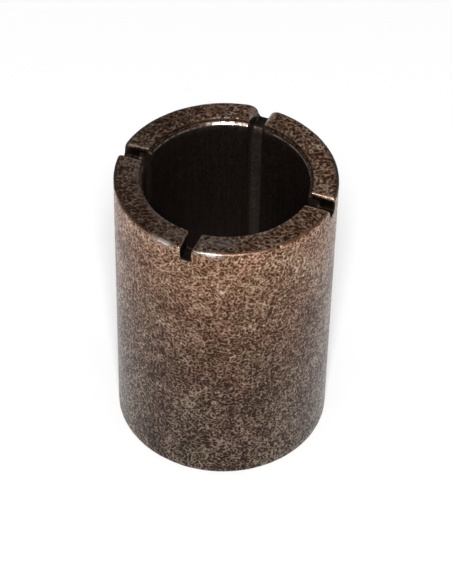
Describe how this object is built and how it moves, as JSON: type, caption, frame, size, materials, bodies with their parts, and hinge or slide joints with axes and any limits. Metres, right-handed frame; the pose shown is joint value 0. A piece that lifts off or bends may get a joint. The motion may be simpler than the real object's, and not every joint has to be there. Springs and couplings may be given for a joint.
{
  "type": "crankcase bushing",
  "caption": "Plain sintered metal sleeve bushing for a shaft in an engine crankcase, with oil slots across one end and oil grooves along the bore.",
  "frame": {"origin": "on the bushing's axis, in the plane of the plain end face that it stands on", "axes": "+Z along the axis, from the plain end to the slotted end; +X and +Y through the end slots"},
  "size_m": [0.016, 0.016, 0.023],
  "materials": {
    "sintered_iron": "brown-grey mottled sintered metal with a slightly oily sheen"
  },
  "bodies": {
    "root": {"bushing": "sintered_iron"}
  },
  "joints": []
}
